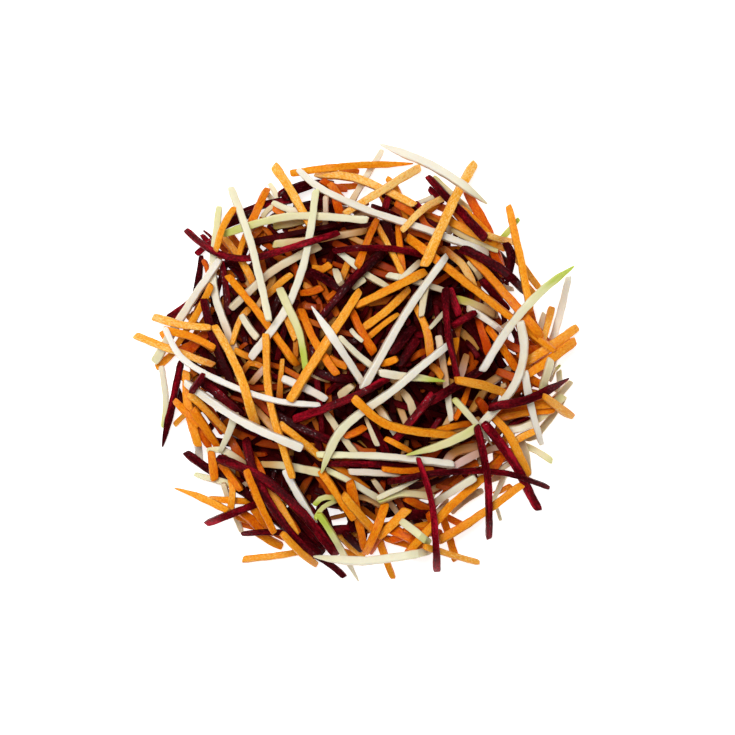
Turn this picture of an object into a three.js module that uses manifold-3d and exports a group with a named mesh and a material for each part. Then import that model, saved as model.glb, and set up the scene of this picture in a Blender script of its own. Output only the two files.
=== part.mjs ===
// A loose round heap of raw julienned vegetables: carrot, beetroot and kohlrabi cut into square shreds.
// Millimetres, +Z up. The heap rests on z = 0 and the origin is the middle of its footprint.

import * as THREE from 'three';
import { mergeVertices } from 'three/addons/utils/BufferGeometryUtils.js';
import Module from 'manifold-3d';

const wasm = await Module();
wasm.setup();

// Driving dimensions. A julienne shred is 2 to 3.3 mm wide and up to 70 mm long.
const MM_PER_PIXEL = 0.34; // real size of one picture pixel at the heap
const HEAP_CENTRE = { x: 356, y: 364 }; // the pixel over the middle of the heap
const CORE_RADIUS = 54.5; // the packed middle of the heap, which its shreds lie on
const CORE_HEIGHT = 33.5;
const CORE_ROUND = 0.6; // 0.5 is a half ellipsoid, 1 a paraboloid
const CORE_LUMP = 1.6; // how far the core swells and dips
const CORE_SWELLS = [
  { times: 3, from: 0.6, share: 1 },
  { times: 5, from: 2.1, share: 0.6 },
];
const CORE_SIDES = 26;
const CORE_RINGS = 8;
const THICKNESS_SHARE = 0.92; // a shred's thickness over its width
const BLUNT_TIP = 0.86; // share of the width left at a square-cut end
const POINTED_TIP = 0.3; // and at a pointed one
const TIP_LENGTH = 9; // stretch over which an end narrows
const SINK = 0.7; // how deep a shred beds into what it lies on
const FLOOR_GAP = 0.1; // clearance of a shred that lies on the table beside the core
const STIFFNESS = 0.45; // 0 hangs like a wet noodle, 1 stays a straight stick
const BEND_LENGTH = 14; // length of one straight stretch of a bent shred
const FEELER_LENGTH = 1.5; // between two places where a shred feels for support
const FEELERS_ACROSS = [-0.5, -0.25, 0, 0.25, 0.5]; // and across it, as shares of its width
const MERGE_DISTANCE = 1e-4;

// Height map of the heap as it is laid: how high it reaches over each square cell.
const CELL = 1;
const MAP_REACH = 86;
const MAP_SIDE = Math.round((2 * MAP_REACH) / CELL);

// The shreds that show, in the order they were dropped. A row is a shred's width, then its start,
// its bends and its end as seen from above, in picture pixels, and last any end that is pointed.
const UNDERNEATH = [
  [7, 380, 153, 367, 175, 351, 203, 346, 216],
  [8, 279, 194, 304, 184, 332, 184],
  [9, 326, 182, 328, 200, 333, 224],
  [7, 388, 179, 397, 190, 408, 222],
  [8, 243, 212, 262, 205, 288, 203, 322, 216],
  [6, 197, 253, 206, 245, 216, 238, 246, 264],
  [7, 201, 257, 199, 275, 196, 296, 208, 332],
  [8, 228, 290, 197, 288, 184, 304, 166, 317],
  [6, 161, 332, 166, 341, 180, 352, 206, 362],
  [6.5, 161, 367, 165, 398, 166, 427, 184, 448, 228, 443],
  [8, 196, 433, 198, 448, 204, 466],
  [7, 176, 402, 186, 412, 198, 426, 224, 446],
  [7, 196, 475, 212, 479, 232, 484],
  [6, 224, 484, 231, 505, 241, 531],
  [8, 186, 455, 210, 471, 248, 496, 'start'],
  [7, 210, 499, 230, 500, 254, 502, 280, 492],
  [8, 238, 516, 256, 523, 272, 533],
  [9, 257, 533, 270, 541, 281, 546],
  [6.5, 306, 548, 331, 566, 344, 577],
  [9, 322, 510, 335, 530, 350, 545, 363, 556],
  [9, 330, 530, 345, 529, 358, 526],
  [8, 371, 516, 377, 533, 385, 557, 393, 578],
  [8, 372, 520, 385, 538, 405, 544, 430, 550],
  [8, 400, 533, 418, 527, 430, 522, 436, 500],
  [9, 405, 498, 411, 510, 418, 524],
  [8, 444, 512, 449, 540, 456, 560],
  [6, 422, 538, 416, 546, 409, 555],
  [8, 483, 514, 465, 527, 440, 540],
  [7, 496, 424, 515, 438, 535, 451, 552, 461],
  [7, 565, 397, 555, 413, 540, 432],
  [9, 505, 430, 530, 424, 562, 398],
  [8, 569, 277, 563, 305, 552, 345, 534, 372, 508, 392],
];

const IN_THE_MIDDLE = [
  [9, 290, 507, 305, 529, 322, 552],
  [9, 283, 488, 303, 520, 322, 540],
  [9, 306, 508, 322, 530, 338, 552],
  [7, 222, 262, 226, 288, 229, 314],
  [7, 212, 286, 196, 316, 177, 345],
  [8, 190, 394, 208, 412, 228, 434],
  [8, 222, 465, 232, 477, 241, 489],
  [7, 231, 478, 233, 494, 230, 512],
  [6.5, 243, 534, 262, 532, 288, 532, 312, 512],
  [9, 226, 219, 235, 214, 243, 220, 262, 238],
  [7, 274, 203, 290, 210, 312, 215],
  [8, 322, 181, 333, 187, 345, 189],
  [7, 246, 236, 242, 246, 239, 257],
  [7, 500, 418, 526, 413, 553, 411],
  [9, 504, 408, 520, 402, 540, 397],
  [9, 512, 384, 528, 381, 545, 386],
  [8, 512, 443, 523, 436, 534, 431],
  [9, 524, 392, 536, 394, 549, 399],
  [8, 530, 405, 541, 405, 553, 404],
  [7, 510, 370, 541, 344, 547, 327, 552, 309],
  [7, 461, 207, 474, 220, 484, 240, 480, 268],
  [7, 486, 235, 501, 240, 517, 242],
  [8, 494, 246, 499, 258, 503, 274, 492, 294],
  [7, 500, 240, 515, 256, 527, 271, 539, 287],
  [8, 506, 246, 510, 258, 505, 284, 494, 298],
  [10, 523, 350, 535, 360, 547, 358],
  [7, 571, 382, 562, 392, 552, 402],
  [7, 250, 243, 285, 236, 336, 226],
  [8, 275, 244, 315, 240, 365, 231],
  [7.5, 225, 239, 240, 258, 253, 282],
  [8.5, 266, 190, 259, 206, 250, 226],
  [9, 275, 167, 291, 191, 310, 226],
  [8.5, 320, 176, 362, 182, 414, 205],
  [8, 219, 208, 214, 285, 237, 352],
  [9, 220, 261, 185, 312, 155, 361],
  [9, 205, 300, 214, 338, 234, 388],
  [10, 202, 381, 222, 396, 243, 414],
  [8, 181, 362, 173, 400, 162, 446, 'end'],
  [9, 187, 372, 188, 405, 198, 445],
  [9, 194, 410, 206, 428, 219, 448],
  [7, 209, 450, 226, 451, 246, 466],
  [7.5, 175, 489, 200, 497, 228, 510, 'start'],
  [8, 208, 523, 230, 514, 258, 503],
  [8, 268, 485, 281, 506, 297, 534],
  [7.5, 243, 560, 270, 557, 303, 552, 336, 546],
  [8, 286, 470, 299, 495, 317, 521, 'end'],
  [7, 330, 462, 348, 474, 367, 488],
  [7, 350, 482, 356, 508, 366, 548],
  [9, 407, 509, 394, 522, 379, 536],
  [8.5, 483, 478, 448, 508, 411, 548],
  [8, 575, 329, 553, 344, 526, 362],
  [8, 573, 341, 551, 358, 528, 373, 506, 384],
  [9, 455, 299, 474, 305, 492, 314],
  [8, 474, 268, 482, 280, 494, 295, 512, 313],
  [8, 450, 222, 474, 234, 503, 248],
  [10, 468, 193, 479, 214, 491, 238],
  [8, 408, 290, 388, 310, 364, 328],
  [9, 351, 310, 361, 331, 373, 352],
  [8, 413, 303, 426, 330, 430, 358],
  [7, 327, 413, 340, 432, 356, 453],
  [7.5, 438, 337, 444, 372, 451, 419],
  [9, 482, 369, 455, 386, 428, 402],
  [8.5, 284, 379, 304, 387, 326, 399],
  [7, 285, 312, 290, 325, 296, 339],
  [8, 243, 316, 250, 328, 258, 338],
  [7, 249, 310, 240, 322, 233, 344],
  [6, 283, 360, 281, 380, 280, 402],
  [8, 252, 405, 264, 417, 280, 434],
  [7, 254, 396, 266, 408, 285, 428],
  [8, 263, 464, 290, 466, 321, 472],
  [9, 275, 413, 300, 427, 332, 441],
  [8, 281, 424, 305, 443, 322, 458],
  [6, 330, 463, 385, 464, 445, 467],
  [7, 328, 470, 352, 482, 379, 499],
  [8, 434, 503, 452, 491, 474, 477],
  [10, 445, 463, 455, 452, 478, 447],
  [8, 488, 328, 502, 348, 516, 369],
  [7, 468, 309, 485, 319, 503, 332],
  [8, 443, 249, 463, 266, 474, 288],
  [8, 452, 229, 474, 240, 497, 249],
  [7, 398, 227, 400, 250, 403, 272],
  [6.5, 376, 224, 390, 250, 402, 275],
  [7, 388, 276, 418, 283, 449, 293],
  [10, 412, 328, 402, 340, 390, 354],
  [8, 370, 420, 378, 436, 386, 452],
  [8, 378, 406, 386, 418, 396, 434],
  [8.5, 432, 394, 414, 417, 394, 440],
  [7, 437, 430, 456, 425, 476, 423],
  [8, 466, 357, 463, 366, 459, 378],
  [7, 291, 275, 280, 284, 266, 297],
  [9, 311, 272, 324, 279, 340, 290],
  [8, 330, 265, 323, 270, 314, 268],
  [9, 449, 290, 453, 302, 458, 315],
  [8, 452, 326, 462, 320, 474, 313],
];

const ON_TOP = [
  [9, 382, 254, 357, 276, 322, 318],
  [8, 376, 221, 368, 240, 358, 266],
  [7.5, 340, 256, 380, 249, 430, 259],
  [8.5, 423, 273, 392, 289, 357, 306],
  [7.5, 292, 173, 350, 166, 412, 163, 'end'],
  [8, 418, 168, 388, 187, 345, 214],
  [8, 299, 171, 322, 190, 370, 212, 425, 230, 486, 253],
  [7, 448, 196, 425, 208, 402, 231],
  [9, 429, 177, 456, 207, 484, 238],
  [8.5, 409, 239, 480, 294, 553, 350],
  [9, 464, 251, 500, 289, 540, 336],
  [9.5, 462, 249, 496, 267, 523, 290],
  [10, 474, 164, 454, 200, 424, 266],
  [9.5, 386, 148, 436, 168, 484, 202, 'both'],
  [8, 509, 207, 520, 255, 535, 325],
  [8.5, 573, 267, 540, 292, 508, 328, 482, 370, 'start'],
  [8.5, 319, 247, 275, 270, 232, 308],
  [8, 229, 277, 262, 317, 296, 364],
  [8, 224, 234, 290, 217, 367, 221],
  [8, 316, 192, 311, 230, 302, 272, 284, 314, 252, 357],
  [7, 187, 231, 216, 253, 250, 259, 290, 249, 338, 234],
  [8, 231, 189, 252, 246, 270, 320],
  [7, 234, 209, 223, 228, 217, 250],
  [8, 155, 317, 182, 325, 211, 328],
  [7, 166, 330, 192, 337, 215, 348],
  [8, 136, 336, 170, 349, 214, 365],
  [8, 267, 335, 271, 400, 293, 476],
  [6.5, 166, 329, 184, 359, 226, 383, 275, 400, 320, 405],
  [9, 216, 327, 240, 372, 256, 423],
  [7, 236, 414, 230, 431, 221, 450],
  [9, 187, 383, 240, 419, 302, 447],
  [9, 212, 452, 213, 465, 215, 479],
  [9, 246, 440, 257, 478, 283, 522, 313, 556],
  [10.5, 219, 458, 262, 477, 300, 510, 335, 552],
  [8, 247, 470, 260, 502, 274, 531],
  [8, 283, 533, 299, 550, 315, 564],
  [6, 315, 504, 322, 497, 334, 497],
  [8, 322, 471, 336, 492, 353, 518],
  [9, 344, 495, 358, 512, 374, 531],
  [9, 385, 504, 377, 527, 366, 552],
  [7, 320, 513, 338, 543, 358, 581, 'end'],
  [8, 315, 556, 365, 560, 428, 551, 'start'],
  [8, 402, 521, 414, 530, 428, 541],
  [8, 379, 501, 402, 493, 432, 497],
  [8, 302, 311, 316, 343, 337, 374],
  [8, 281, 291, 300, 333, 307, 372],
  [9.5, 359, 293, 326, 344, 291, 400],
  [7, 340, 338, 366, 362, 398, 383],
  [8, 316, 311, 340, 348, 363, 384],
  [8.5, 445, 258, 405, 314, 363, 388],
  [8.5, 387, 379, 348, 399, 296, 419],
  [8, 380, 373, 410, 377, 443, 381],
  [8, 318, 454, 385, 456, 452, 464],
  [9, 446, 346, 421, 366, 390, 392, 357, 415, 336, 437, 322, 471],
  [9, 354, 398, 390, 425, 455, 435],
  [7.5, 445, 290, 447, 330, 457, 380],
  [9, 456, 380, 481, 385, 510, 395],
  [7.5, 524, 372, 530, 405, 541, 443],
  [8, 519, 323, 523, 352, 512, 388, 480, 425],
  [8, 489, 407, 530, 398, 569, 378, 'end'],
  [9, 544, 397, 558, 407, 571, 416],
  [7, 454, 399, 472, 419, 491, 444, 'end'],
  [8.5, 409, 453, 445, 443, 475, 428],
  [9, 481, 406, 508, 434, 527, 474],
  [9.5, 484, 424, 512, 460, 538, 509],
  [6.5, 390, 481, 440, 472, 500, 472, 548, 487],
  [8, 521, 485, 484, 512, 440, 539],
  [8, 476, 426, 487, 478, 489, 537],
  [7, 425, 546, 452, 555, 478, 563],
  [7, 418, 458, 432, 505, 437, 569],
];

// Swells and dips of the packed core round its axis.
function coreSwell(angle) {
  const swells = CORE_SWELLS.map(({ times, from, share }) => share * Math.sin(times * angle + from));
  return CORE_LUMP * swells.reduce((sum, swell) => sum + swell, 0);
}

// Rings of the core from its foot to its top: how far out, as a share of its reach, and how high.
const coreRings = Array.from({ length: CORE_RINGS + 1 }, (_, ring) => {
  const out = ring === CORE_RINGS ? 0 : Math.cos((ring / CORE_RINGS) * (Math.PI / 2));
  return { out, up: CORE_HEIGHT * (1 - out * out) ** CORE_ROUND };
});

// Height of the core at a point of the plan, measured at the middle of its flat sides.
function coreHeight(x, y) {
  const reach = (CORE_RADIUS + coreSwell(Math.atan2(y, x))) * Math.cos(Math.PI / CORE_SIDES);
  const out = Math.hypot(x, y) / reach;
  if (out >= 1) return 0;
  const inner = coreRings.findIndex((ring, i) => i > 0 && ring.out <= out);
  const [below, above] = [coreRings[inner - 1], coreRings[inner]];
  return THREE.MathUtils.mapLinear(out, below.out, above.out, below.up, above.up);
}

// The packed core, turned on its axis and then swollen; its underside is the flat face it rests on.
function makeCore() {
  const profile = coreRings.map(({ out, up }) => new THREE.Vector2(CORE_RADIUS * out, up));
  const core = new THREE.LatheGeometry([new THREE.Vector2(0, 0), ...profile], CORE_SIDES);
  core.rotateX(Math.PI / 2);
  const place = core.attributes.position;
  for (let i = 0; i < place.count; i += 1) {
    const x = place.getX(i);
    const y = place.getY(i);
    const swell = 1 + coreSwell(Math.atan2(y, x)) / CORE_RADIUS;
    place.setXYZ(i, x * swell, y * swell, place.getZ(i));
  }
  return core;
}

// Height map, which starts as the bare core.
const heights = new Float32Array(MAP_SIDE * MAP_SIDE);

function cellOf(x, y) {
  const column = Math.round((x + MAP_REACH) / CELL);
  const row = Math.round((y + MAP_REACH) / CELL);
  return row * MAP_SIDE + column;
}

function startHeights() {
  for (let x = -MAP_REACH; x < MAP_REACH; x += CELL) {
    for (let y = -MAP_REACH; y < MAP_REACH; y += CELL) {
      heights[cellOf(x, y)] = coreHeight(x, y);
    }
  }
}

// Places across a shred's width at which it feels for support and afterwards leaves its own height.
function acrossWidth(point, side, width) {
  return FEELERS_ACROSS.map((share) => ({
    x: point.x + side.x * width * share,
    y: point.y + side.y * width * share,
  }));
}

// Taut line over the supports: the upper hull of height against length.
function tautLine(lengths, supports) {
  const hull = [];
  for (let i = 0; i < lengths.length; i += 1) {
    while (hull.length > 1) {
      const a = hull[hull.length - 2];
      const b = hull[hull.length - 1];
      const rise = (supports[b] - supports[a]) * (lengths[i] - lengths[a]);
      if (rise > (supports[i] - supports[a]) * (lengths[b] - lengths[a])) break;
      hull.pop();
    }
    hull.push(i);
  }
  return hull;
}

function along(lengths, values, a, b, length) {
  return values[a] + ((values[b] - values[a]) * (length - lengths[a])) / (lengths[b] - lengths[a]);
}

// Drops one shred on the heap and returns the line that its middle then follows. It rests on the two
// supports either side of its own middle, and its ends hang part of the way from there to what is below.
function dropShred([widthInPixels, ...rest]) {
  const width = widthInPixels * MM_PER_PIXEL;
  const thickness = width * THICKNESS_SHARE;
  const pixels = rest.filter((value) => typeof value === 'number');
  const bends = [];
  for (let i = 0; i < pixels.length; i += 2) {
    const x = (pixels[i] - HEAP_CENTRE.x) * MM_PER_PIXEL;
    const y = (HEAP_CENTRE.y - pixels[i + 1]) * MM_PER_PIXEL;
    bends.push(new THREE.Vector2(x, y));
  }
  const plan = new THREE.SplineCurve(bends);
  const length = plan.getLength();
  const count = Math.max(4, Math.round(length / FEELER_LENGTH));
  const points = plan.getSpacedPoints(count);
  const lengths = points.map((point, i) => (i / count) * length);
  const sides = points.map((point, i) => {
    const tangent = plan.getTangentAt(i / count);
    return new THREE.Vector2(-tangent.y, tangent.x);
  });

  const supports = points.map((point, i) => {
    const felt = acrossWidth(point, sides[i], width).map((place) => heights[cellOf(place.x, place.y)]);
    return Math.max(...felt);
  });
  const hull = tautLine(lengths, supports);
  const after = hull.find((i) => lengths[i] >= length / 2);
  const before = hull[hull.indexOf(after) - 1];
  const rise = points.map((point, i) => {
    const last = hull.find((index) => index >= Math.max(i, 1));
    const first = hull[hull.indexOf(last) - 1];
    const taut = along(lengths, supports, first, last, lengths[i]);
    const stiff = along(lengths, supports, before, after, lengths[i]);
    const bedded = taut + STIFFNESS * (stiff - taut) + thickness / 2 - SINK;
    return Math.max(bedded, thickness / 2 + FLOOR_GAP);
  });

  points.forEach((point, i) => {
    acrossWidth(point, sides[i], width).forEach((place) => {
      const cell = cellOf(place.x, place.y);
      heights[cell] = Math.max(heights[cell], rise[i] + thickness / 2);
    });
  });
  const line = points.map((point, i) => new THREE.Vector3(point.x, point.y, rise[i]));
  return { line: new THREE.CatmullRomCurve3(line), length, width, thickness, pointed: rest.at(-1) };
}

// Share of the full width that a shred keeps at a distance from one of its ends.
function tipShare(distance, isPointed) {
  const tip = isPointed ? POINTED_TIP : BLUNT_TIP;
  return Math.min(1, tip + ((1 - tip) * distance) / TIP_LENGTH);
}

// A square bar bent along the line, narrower towards its ends.
function makeShred({ line, length, width, thickness, pointed }) {
  const stretches = Math.max(2, Math.round(length / BEND_LENGTH));
  const bar = new THREE.BoxGeometry(length, width, thickness, stretches, 1, 1);
  const place = bar.attributes.position;
  const up = new THREE.Vector3(0, 0, 1);
  for (let i = 0; i < place.count; i += 1) {
    const run = place.getX(i) + length / 2;
    const share = THREE.MathUtils.clamp(run / length, 0, 1);
    const point = line.getPointAt(share);
    const tangent = line.getTangentAt(share);
    const side = new THREE.Vector3().crossVectors(up, tangent).normalize();
    const top = new THREE.Vector3().crossVectors(tangent, side);
    const startShare = tipShare(run, pointed === 'start' || pointed === 'both');
    const endShare = tipShare(length - run, pointed === 'end' || pointed === 'both');
    const tip = Math.min(startShare, endShare);
    point.addScaledVector(side, place.getY(i) * tip).addScaledVector(top, place.getZ(i) * tip);
    place.setXYZ(i, point.x, point.y, Math.max(point.z, FLOOR_GAP));
  }
  return bar;
}

// A closed solid from a geometry whose shared corners are merged, and back again.
function solidOf(geometry) {
  geometry.deleteAttribute('normal');
  geometry.deleteAttribute('uv');
  const merged = mergeVertices(geometry, MERGE_DISTANCE);
  const vertProperties = new Float32Array(merged.attributes.position.array);
  const triVerts = new Uint32Array(merged.index.array);
  return new wasm.Manifold(new wasm.Mesh({ numProp: 3, vertProperties, triVerts }));
}

function geometryOf(solid) {
  const { vertProperties, triVerts } = solid.getMesh();
  const geometry = new THREE.BufferGeometry();
  geometry.setAttribute('position', new THREE.BufferAttribute(vertProperties, 3));
  geometry.setIndex(new THREE.BufferAttribute(triVerts, 1));
  geometry.computeVertexNormals();
  return geometry;
}

// Everything is dropped in turn and fused to the core. A space that the fusing seals is filled, because
// only the outer skin of the largest body is kept.
function makeHeap() {
  startHeights();
  let heap = solidOf(makeCore());
  for (const shred of [...UNDERNEATH, ...IN_THE_MIDDLE, ...ON_TOP]) {
    heap = heap.add(solidOf(makeShred(dropShred(shred))));
  }
  const bodies = heap.decompose();
  bodies.sort((a, b) => b.volume() - a.volume());
  return geometryOf(bodies[0]);
}

const heap = new THREE.Mesh(
  makeHeap(),
  new THREE.MeshStandardMaterial({ color: 0xe07818, roughness: 0.45, metalness: 0 }),
);
heap.name = 'julienne_heap';

const group = new THREE.Group();
group.add(heap);

export default group;
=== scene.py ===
"""A loose round heap of raw julienned vegetables: shreds of carrot, beetroot and kohlrabi."""

import math
from functools import partial

import bmesh
import bpy
import numpy as np
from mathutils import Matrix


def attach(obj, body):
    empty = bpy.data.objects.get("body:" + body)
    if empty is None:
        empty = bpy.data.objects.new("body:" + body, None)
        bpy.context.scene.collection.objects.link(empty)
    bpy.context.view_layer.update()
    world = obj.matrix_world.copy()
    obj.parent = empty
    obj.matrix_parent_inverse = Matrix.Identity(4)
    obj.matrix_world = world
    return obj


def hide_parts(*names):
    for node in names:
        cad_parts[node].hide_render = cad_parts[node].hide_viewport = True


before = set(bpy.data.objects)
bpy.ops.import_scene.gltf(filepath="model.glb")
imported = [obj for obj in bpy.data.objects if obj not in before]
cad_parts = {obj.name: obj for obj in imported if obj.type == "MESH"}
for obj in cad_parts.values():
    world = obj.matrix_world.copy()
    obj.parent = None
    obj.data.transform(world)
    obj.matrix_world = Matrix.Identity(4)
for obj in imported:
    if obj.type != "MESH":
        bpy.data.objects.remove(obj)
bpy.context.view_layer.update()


# ---- The studio ----
# The heap lies on a plain white table and is seen from straight above. One large soft lamp hangs
# over its upper left side, and the bright room round it lifts the shadows.

MM = 0.001
PIXEL = 0.34 * MM  # real size of one picture pixel at the heap
PICTURE_SIDE = 735  # pixels
HEAP_PIXEL = (356, 364)  # the pixel over the middle of the heap
CAMERA_HEIGHT = 2.6
HEAP_MIDDLE_HEIGHT = 10 * MM
TABLE_SIDE = 6.0
TABLE_GLOW = 0.75
ROOM_BRIGHTNESS = 0.26
LAMP_PLACE = (-0.5, 0.6, 2.8)
LAMP_SIDE = 1.1
LAMP_POWER = 68


def from_pixel(across, down):
    """The place on the table under a pixel of the picture."""
    return (across - HEAP_PIXEL[0]) * PIXEL, (HEAP_PIXEL[1] - down) * PIXEL


def colour(*screen):
    """A colour as painted, from its screen values of 0 to 255 on the usual sRGB curve."""
    shares = [value / 255 for value in screen]
    light = [v / 12.92 if v <= 0.04045 else ((v + 0.055) / 1.055) ** 2.4 for v in shares]
    return (*light, 1.0)


def add_object(name, data):
    thing = bpy.data.objects.new(name, data)
    bpy.context.scene.collection.objects.link(thing)
    return thing


def add_form(name, form):
    """An object with the shape of a finished form."""
    mesh = bpy.data.meshes.new(name)
    form.to_mesh(mesh)
    form.free()
    return add_object(name, mesh)


def new_material(name):
    """A named material, its node tree and its surface shader."""
    material = bpy.data.materials.new(name)
    material.use_nodes = True
    return material, material.node_tree, material.node_tree.nodes["Principled BSDF"]


def fill_inputs(tree, node, values):
    """Fills a node's inputs, by name or number, with other nodes' outputs or plain values."""
    for key, value in values.items():
        if isinstance(value, bpy.types.NodeSocket):
            tree.links.new(value, node.inputs[key])
        else:
            node.inputs[key].default_value = value


lens = bpy.data.cameras.new("camera")
lens.lens = lens.sensor_width * (CAMERA_HEIGHT - HEAP_MIDDLE_HEIGHT) / (PICTURE_SIDE * PIXEL)
camera = add_object("camera", lens)
camera.location = (*from_pixel(PICTURE_SIDE / 2, PICTURE_SIDE / 2), CAMERA_HEIGHT)
bpy.context.scene.camera = camera
bpy.context.scene.view_settings.view_transform = "Standard"

table_form = bmesh.new()
bmesh.ops.create_grid(table_form, x_segments=1, y_segments=1, size=TABLE_SIDE / 2)
table = add_form("table", table_form)
table_white, tree, shader = new_material("table_white")
fill_inputs(tree, shader, {
    "Base Color": colour(245, 245, 245), "Roughness": 0.8, "Specular IOR Level": 0.1,
    "Emission Color": colour(255, 255, 255), "Emission Strength": TABLE_GLOW,
})
table.data.materials.append(table_white)

room = bpy.data.worlds.new("room")
room.use_nodes = True
fill_inputs(room.node_tree, room.node_tree.nodes["Background"], {
    "Color": colour(255, 255, 255), "Strength": ROOM_BRIGHTNESS,
})
bpy.context.scene.world = room

lamp_light = bpy.data.lights.new("soft_lamp", "AREA")
lamp_light.size = LAMP_SIDE
lamp_light.energy = LAMP_POWER
lamp = add_object("soft_lamp", lamp_light)
lamp.location = LAMP_PLACE
lamp.rotation_euler = (-lamp.location).to_track_quat("-Z", "Y").to_euler()


# ---- The middle, in place of the imported heap ----
# Under the shreds that show, the heap is a dense wet tangle stained by beetroot juice and deep in
# shade. Little of it is seen, dark red in the deepest gaps, so one lumpy low mound stands for it,
# painted dark red for both the stain and the shade.

MIDDLE_RADIUS = 50 * MM
MIDDLE_HEIGHT = 22 * MM
MIDDLE_ROUND = 0.72  # 0.5 is a half ellipsoid, 1 a paraboloid
MIDDLE_TURNS = 96
MIDDLE_RINGS = 40
RIDGE_DEPTH = 0.9 * MM
RIDGE_PITCH = 3.4 * MM
CROSS_PITCH = 2.3 * RIDGE_PITCH  # of the second set of ridges, which cuts the first into lumps
RIDGE_SLANT, CROSS_SLANT = 0.6, 0.5
LEAST_HEIGHT = 0.3 * MM  # of the mound's skin over the table, inside its rim
SAME_PLACE = 0.01 * MM  # corners this close become one


def mound_height(across, up, radius, height):
    """Height of a round mound over a place of the table, 0 past its foot."""
    out = np.hypot(across, up) / radius
    return height * np.clip(1 - out * out, 0, 1) ** MIDDLE_ROUND


def make_middle():
    """The upper half of a ball, closed below and pressed into a lumpy mound."""
    form = bmesh.new()
    bmesh.ops.create_uvsphere(
        form, u_segments=MIDDLE_TURNS, v_segments=MIDDLE_RINGS, radius=MIDDLE_RADIUS
    )
    bmesh.ops.bisect_plane(
        form, geom=form.verts[:] + form.edges[:] + form.faces[:], plane_co=(0, 0, 0),
        plane_no=(0, 0, -1), clear_outer=True,
    )
    bmesh.ops.remove_doubles(form, verts=form.verts, dist=SAME_PLACE)
    bmesh.ops.holes_fill(form, edges=form.edges)
    for corner in form.verts:
        across, up, height = corner.co
        if height > RIDGE_DEPTH:
            ridge = math.sin((across + RIDGE_SLANT * up) * math.tau / RIDGE_PITCH)
            cross = math.sin((up - CROSS_SLANT * across) * math.tau / CROSS_PITCH)
            smooth = mound_height(across, up, MIDDLE_RADIUS, MIDDLE_HEIGHT)
            corner.co.z = max(LEAST_HEIGHT, smooth + RIDGE_DEPTH * (ridge * cross))
    bmesh.ops.recalc_face_normals(form, faces=form.faces)
    mound = add_form("packed_middle", form)
    mound.data.shade_smooth()
    return mound


def add_node(tree, kind, inputs, **settings):
    """A shader node with the given inputs and settings."""
    made = tree.nodes.new(kind)
    for name, value in settings.items():
        setattr(made, name, value)
    fill_inputs(tree, made, inputs)
    return made


def add_ramp(tree, source, *stops):
    """A colour ramp fed by source, with a colour at each position."""
    ramp = add_node(tree, "ShaderNodeValToRGB", {"Fac": source})
    marks = ramp.color_ramp.elements
    while len(marks) < len(stops):
        marks.new(0.5)
    for mark, (position, shade) in zip(marks, stops):
        mark.position = position
        mark.color = shade
    return ramp.outputs["Color"]


def add_relief(tree, height, **values):
    """The normals of a surface that a height dents."""
    return add_node(tree, "ShaderNodeBump", {"Height": height, **values}).outputs["Normal"]


middle = make_middle()
middle_dark, tree, shader = new_material("stained_and_shaded_middle")
place = add_node(tree, "ShaderNodeTexCoord", {}).outputs["Object"]
streaks = add_node(tree, "ShaderNodeTexNoise", {"Vector": place, "Scale": 260, "Detail": 4})
streaks = streaks.outputs["Fac"]
# Juice stain and painted shade: the mound is painted the dark reds of stained shreds deep in shade.
fill_inputs(tree, shader, {
    "Base Color": add_ramp(
        tree, streaks, (0.35, colour(62, 5, 6)), (0.6, colour(104, 14, 12)),
        (0.8, colour(140, 28, 16)),
    ),
    "Roughness": 0.6,
    "Specular IOR Level": 0.05,
    "Normal": add_relief(tree, streaks, Distance=0.5 * MM),
})
middle.data.materials.append(middle_dark)
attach(middle, "root")
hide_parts("julienne_heap")


# ---- The heap as it is laid ----
# Every shred is dropped on those before it: it rests on the two supports either side of its own
# middle, and its ends hang part of the way down. The order runs from the bottom of the heap up.

KINDS = ("beetroot", "carrot", "kohlrabi")
THICKNESS_SHARE = 0.92  # a shred's thickness over its width
SINK = 0.35 * MM  # how deep a wet shred beds into what it lies on
STIFFNESS = 0.35  # 0 hangs like a wet noodle, 1 stays a straight stick
FEELER_LENGTH = 1.2 * MM  # between two places where a shred feels for support
FEWEST_FEELERS = 6
FEELERS_ACROSS = np.array([-0.5, -0.25, 0, 0.25, 0.5])  # and across it, as shares of its width
CELL = 0.8 * MM  # of the height map
MAP_REACH = 86 * MM
BEND_STEPS = 16  # places worked out between two bends of a plan
ROUND_END = 0.4 * MM  # by which a rounded end reaches past the place where it still looks full
EASE_STEPS = 6  # times that a shred's rise is eased, so that it bends over a support

map_side = round(2 * MAP_REACH / CELL)
cell_middles = (np.arange(map_side) * CELL) - MAP_REACH
cell_grid = np.meshgrid(cell_middles, cell_middles, indexing="ij")
heights = mound_height(*cell_grid, MIDDLE_RADIUS, MIDDLE_HEIGHT)
laid = []


def cells(places):
    """Columns and rows of the height map under some places."""
    index = np.clip(np.rint((places + MAP_REACH) / CELL).astype(int), 0, map_side - 1)
    return index[..., 0], index[..., 1]


def smooth_plan(bends):
    """A smooth line through the bends of a plan, and the length from its start to each point."""
    ends = np.vstack([bends[0], bends, bends[-1]])
    share = np.linspace(0, 1, BEND_STEPS, endpoint=False)[:, None]
    spans = []
    for before, start, stop, after in zip(ends, ends[1:], ends[2:], ends[3:]):
        leave, arrive = (stop - before) / 2, (after - start) / 2
        curve = (2 * start - 2 * stop + leave + arrive) * share**3
        curve = curve + (3 * stop - 3 * start - 2 * leave - arrive) * share**2
        spans.append(curve + leave * share + start)
    line = np.vstack([*spans, bends[-1]])
    steps = np.hypot(*np.diff(line, axis=0).T)
    return line, np.concatenate([[0], np.cumsum(steps)])


def taut_hull(lengths, supports):
    """The supports that a line pulled taut over all of them touches."""
    hull = []
    for here in range(len(lengths)):
        while len(hull) > 1:
            first, second = hull[-2:]
            rise = (supports[second] - supports[first]) * (lengths[here] - lengths[first])
            if rise > (supports[here] - supports[first]) * (lengths[second] - lengths[first]):
                break
            hull.pop()
        hull.append(here)
    return hull


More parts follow.
